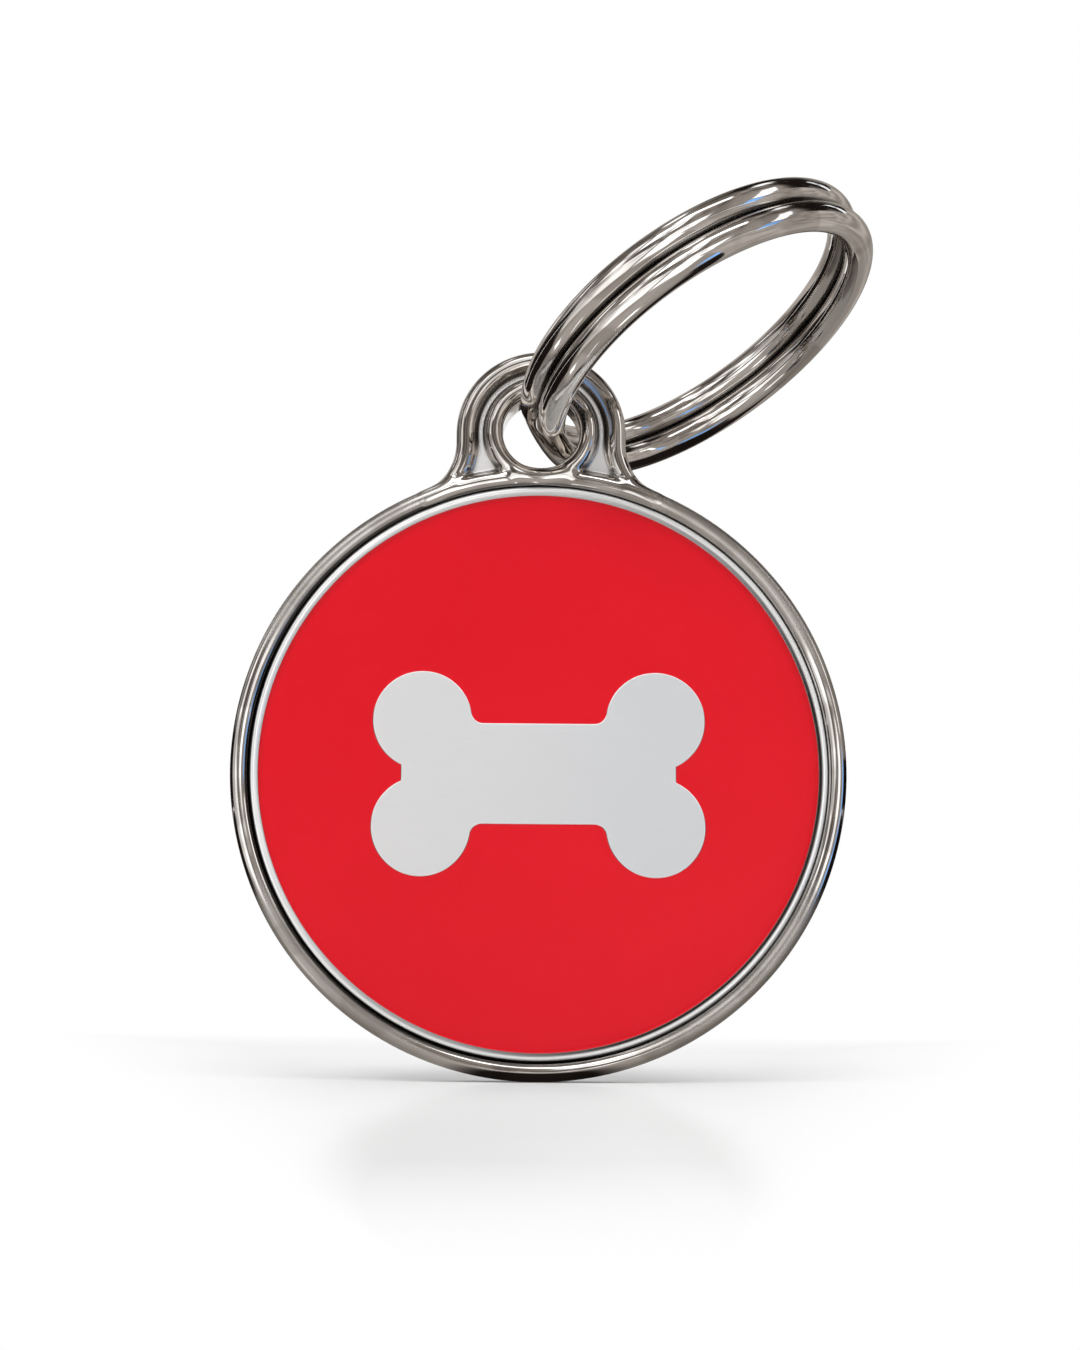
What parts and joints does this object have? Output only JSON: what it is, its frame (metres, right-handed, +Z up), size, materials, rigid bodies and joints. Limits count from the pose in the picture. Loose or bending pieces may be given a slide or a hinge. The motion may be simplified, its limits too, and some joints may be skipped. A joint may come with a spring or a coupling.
{
  "type": "pet id tag",
  "caption": "Round metal pet identity tag with red enamel round a bone-shaped inlay, a beaded frame with an eyelet, and a split ring through the eyelet.",
  "frame": {"origin": "the highest point inside the split ring, midway between its two coils, from which the object hangs", "axes": "+X to the right of the enamelled face, +Y from the enamelled face towards the engraving face, +Z up, from the disc towards the eyelet"},
  "size_m": [0.0318, 0.0195, 0.0431],
  "materials": {
    "plated_frame": "polished nickel plate",
    "polished_tray": "polished nickel plate, back face ready for engraving",
    "red_enamel": "smooth poured enamel",
    "satin_steel": "fine satin",
    "plated_wire": "polished nickel plate"
  },
  "bodies": {
    "ring": {"split_ring": "plated_wire"},
    "tag": {"rim_frame": "plated_frame", "enamel_tray": "polished_tray", "red_enamel": "red_enamel", "bone_inlay": "satin_steel"}
  },
  "joints": [
    {"name": "tag_swing", "type": "hinge", "parent": "ring", "child": "tag", "pos_m": [-0.01448, 0.00358, -0.00941], "axis": [0, 1, 0], "range_deg": [-62, 178]}
  ]
}
